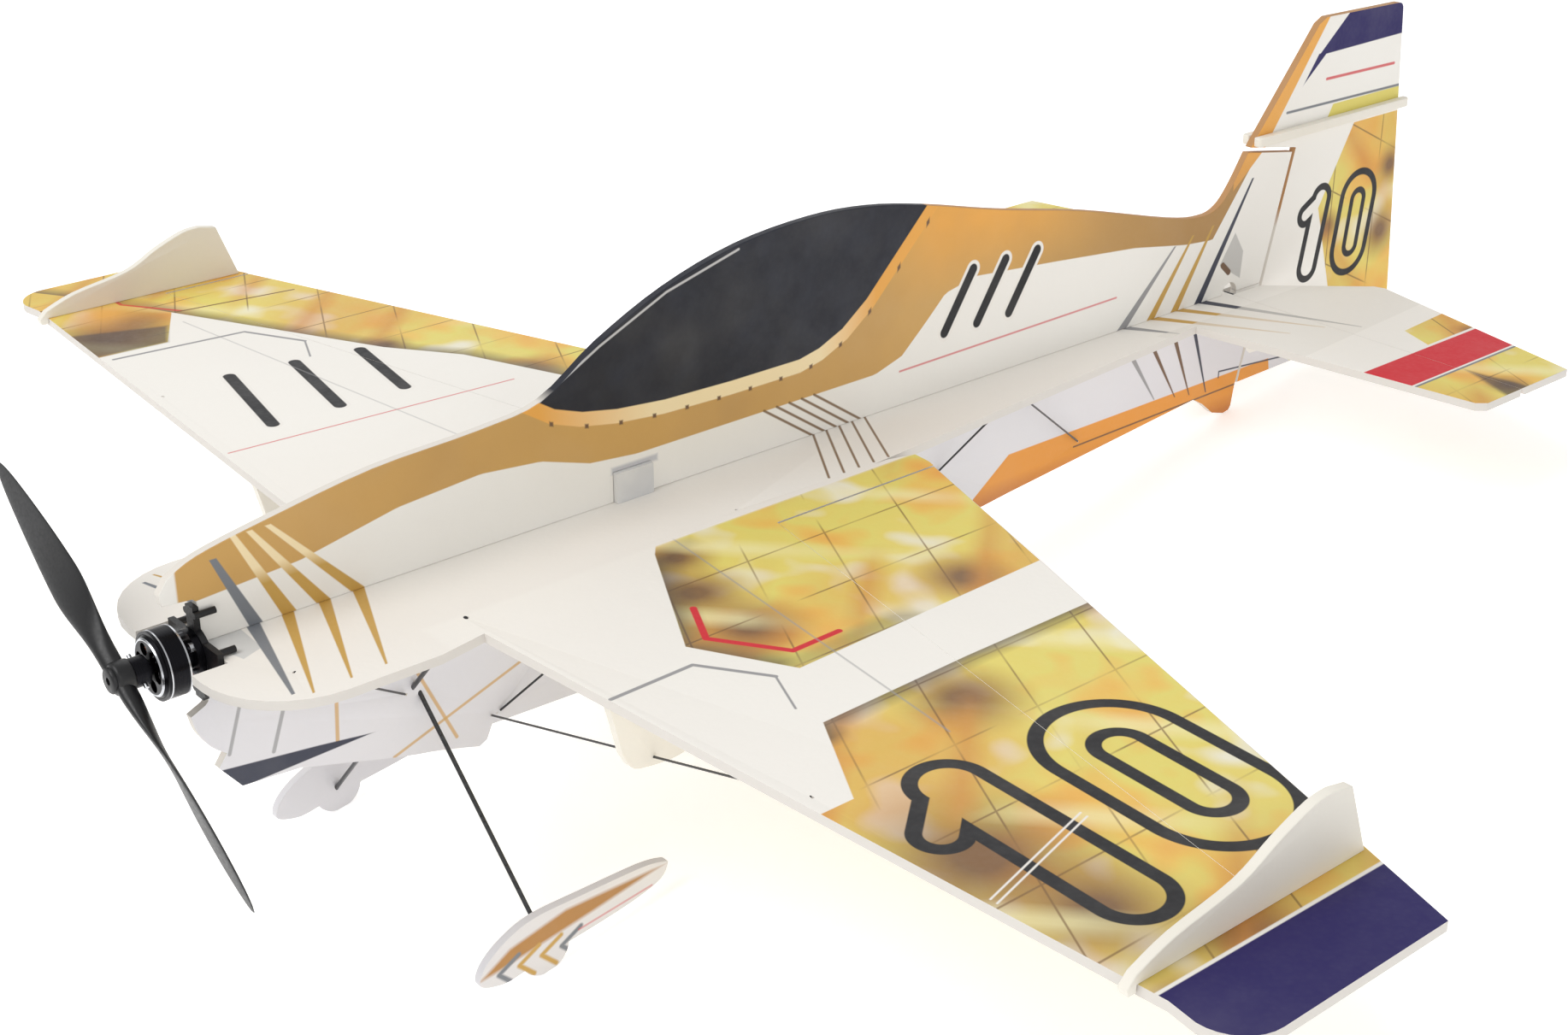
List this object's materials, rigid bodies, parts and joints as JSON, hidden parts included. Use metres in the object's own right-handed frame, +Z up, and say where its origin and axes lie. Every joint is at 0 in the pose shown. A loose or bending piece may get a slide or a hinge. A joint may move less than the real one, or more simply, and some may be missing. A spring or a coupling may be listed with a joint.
{
  "type": "foam model aeroplane",
  "caption": "Flat-sheet foam indoor aerobatic model aeroplane with a front propeller, hinged ailerons, elevator and rudder, carbon bracing and foam wheel pants.",
  "frame": {"origin": "centre of the footprint, on the ground that the two wheel pants and the tail skid stand on", "axes": "+Y aft and level with the ground, +X to port, +Z up; the propeller is at the -Y end"},
  "size_m": [0.84, 0.7972, 0.2259],
  "materials": {
    "printed_foam": "expanded polypropylene foam sheet with a fine bead texture, printed in white, gold, brown, navy and red",
    "canopy_foam": "expanded polypropylene foam sheet, printed in gold and white with a black canopy",
    "white_foam": "white expanded polypropylene foam with a fine bead texture",
    "carbon": "pultruded carbon rod, black, satin",
    "white_nylon": "white moulded nylon",
    "black_nylon": "black moulded nylon",
    "black_metal": "black anodised",
    "steel": "bright steel",
    "lamination": "stacked electrical steel",
    "copper": "enamelled copper wire",
    "servo_case": "translucent grey moulded case",
    "sleeve": "black shrink sleeve",
    "cell_wrap": "dark blue shrink wrap",
    "pad": "black hook-and-loop pad"
  },
  "bodies": {
    "airframe": {"fuselage_plate": "printed_foam", "upper_profile": "canopy_foam", "lower_profile": "printed_foam", "wing_port": "printed_foam", "wing_starboard": "printed_foam", "wing_fence_port": "white_foam", "wing_fence_starboard": "white_foam", "strut_web_port": "white_foam", "strut_web_starboard": "white_foam", "spar_port": "carbon", "spar_starboard": "carbon", "wheel_pant_port": "white_foam", "wheel_pant_starboard": "white_foam", "leg_port": "carbon", "leg_starboard": "carbon", "leg_stays": "carbon", "wing_braces": "carbon", "plate_braces": "carbon", "tail_braces": "carbon", "motor_mount": "black_nylon", "motor_screws": "steel", "motor_base": "black_metal", "motor_bearings": "steel", "motor_stator": "lamination", "motor_windings": "copper", "aileron_servo": "servo_case", "elevator_servo": "servo_case", "rudder_servo": "servo_case", "speed_controller": "sleeve", "receiver": "sleeve", "battery": "cell_wrap", "battery_pad": "pad"},
    "rotor": {"motor_bell": "black_metal", "motor_magnets": "steel", "motor_shaft": "steel", "propeller": "black_nylon", "propeller_collar": "black_metal", "collar_screws": "steel"},
    "aileron_port": {"aileron_port": "printed_foam", "aileron_horn_port": "white_nylon"},
    "aileron_starboard": {"aileron_starboard": "printed_foam", "aileron_horn_starboard": "white_nylon"},
    "elevator": {"elevator_port": "printed_foam", "elevator_starboard": "printed_foam", "elevator_joiner": "carbon", "elevator_horn": "white_nylon"},
    "rudder": {"rudder": "printed_foam", "rudder_strips": "white_foam", "rudder_horn": "white_nylon"},
    "aileron_servo_arm": {"aileron_servo_arm": "white_nylon"},
    "aileron_rod_port": {"aileron_rod_port": "carbon"},
    "aileron_rod_starboard": {"aileron_rod_starboard": "carbon"},
    "elevator_servo_arm": {"elevator_servo_arm": "white_nylon"},
    "elevator_rod": {"elevator_rod": "carbon"},
    "rudder_servo_arm": {"rudder_servo_arm": "white_nylon"},
    "rudder_rod": {"rudder_rod": "carbon"}
  },
  "joints": [
    {"name": "propeller_spin", "type": "hinge", "parent": "airframe", "child": "rotor", "pos_m": [0, -0.38558, 0.16749], "axis": [0, 0.9875, -0.1578], "continuous": true},
    {"name": "aileron_port_hinge", "type": "hinge", "parent": "airframe", "child": "aileron_port", "pos_m": [0.064, -0.12079, 0.12923], "axis": [0.9797, -0.1979, 0.0316], "range_deg": [-30, 30]},
    {"name": "aileron_starboard_hinge", "type": "hinge", "parent": "airframe", "child": "aileron_starboard", "pos_m": [-0.064, -0.12079, 0.12923], "axis": [0.9797, 0.1979, -0.0316], "range_deg": [-30, 30]},
    {"name": "elevator_hinge", "type": "hinge", "parent": "airframe", "child": "elevator", "pos_m": [0, 0.24703, 0.07046], "axis": [1, 0, 0], "range_deg": [-35, 35]},
    {"name": "rudder_hinge", "type": "hinge", "parent": "airframe", "child": "rudder", "pos_m": [0, 0.27271, 0.06636], "axis": [0, 0.3986, 0.9171], "range_deg": [-35, 35]},
    {"name": "aileron_arm_turn", "type": "hinge", "parent": "airframe", "child": "aileron_servo_arm", "pos_m": [0, -0.15718, 0.12654], "axis": [0, 0.1578, 0.9875], "range_deg": [-20.1, 20.1]},
    {"name": "aileron_rod_port_pin", "type": "hinge", "parent": "aileron_servo_arm", "child": "aileron_rod_port", "pos_m": [0.00416, -0.16506, 0.1278], "axis": [0, 0.1578, 0.9875], "range_deg": [-17.6, 17.6]},
    {"name": "aileron_rod_starboard_pin", "type": "hinge", "parent": "aileron_servo_arm", "child": "aileron_rod_starboard", "pos_m": [-0.00416, -0.16506, 0.1278], "axis": [0, 0.1578, 0.9875], "range_deg": [-17.6, 17.6]},
    {"name": "elevator_arm_turn", "type": "hinge", "parent": "airframe", "child": "elevator_servo_arm", "pos_m": [-0.005, -0.05916, 0.0809], "axis": [1, 0, 0], "range_deg": [-36, 36]},
    {"name": "elevator_rod_pin", "type": "hinge", "parent": "elevator_servo_arm", "child": "elevator_rod", "pos_m": [-0.0094, -0.06105, 0.06906], "axis": [1, 0, 0], "range_deg": [-36, 36]},
    {"name": "rudder_arm_turn", "type": "hinge", "parent": "airframe", "child": "rudder_servo_arm", "pos_m": [-0.00625, 0.00216, 0.07171], "axis": [0, 0.1578, 0.9875], "range_deg": [-35.1, 35.1]},
    {"name": "rudder_rod_pin", "type": "hinge", "parent": "rudder_servo_arm", "child": "rudder_rod", "pos_m": [-0.01825, 0.00216, 0.07171], "axis": [0, 0.1578, 0.9875], "range_deg": [-35.1, 35.1]}
  ],
  "couplings": [
    {"joint": "aileron_starboard_hinge", "follows": "aileron_port_hinge", "ratio": -1},
    {"joint": "aileron_arm_turn", "follows": "aileron_port_hinge", "ratio": 0.6368},
    {"joint": "aileron_rod_port_pin", "follows": "aileron_port_hinge", "ratio": -0.5535},
    {"joint": "aileron_rod_starboard_pin", "follows": "aileron_port_hinge", "ratio": -0.5535},
    {"joint": "elevator_arm_turn", "follows": "elevator_hinge", "ratio": 1},
    {"joint": "elevator_rod_pin", "follows": "elevator_hinge", "ratio": -1},
    {"joint": "rudder_arm_turn", "follows": "rudder_hinge", "ratio": 0.9734},
    {"joint": "rudder_rod_pin", "follows": "rudder_hinge", "ratio": -0.9734}
  ]
}
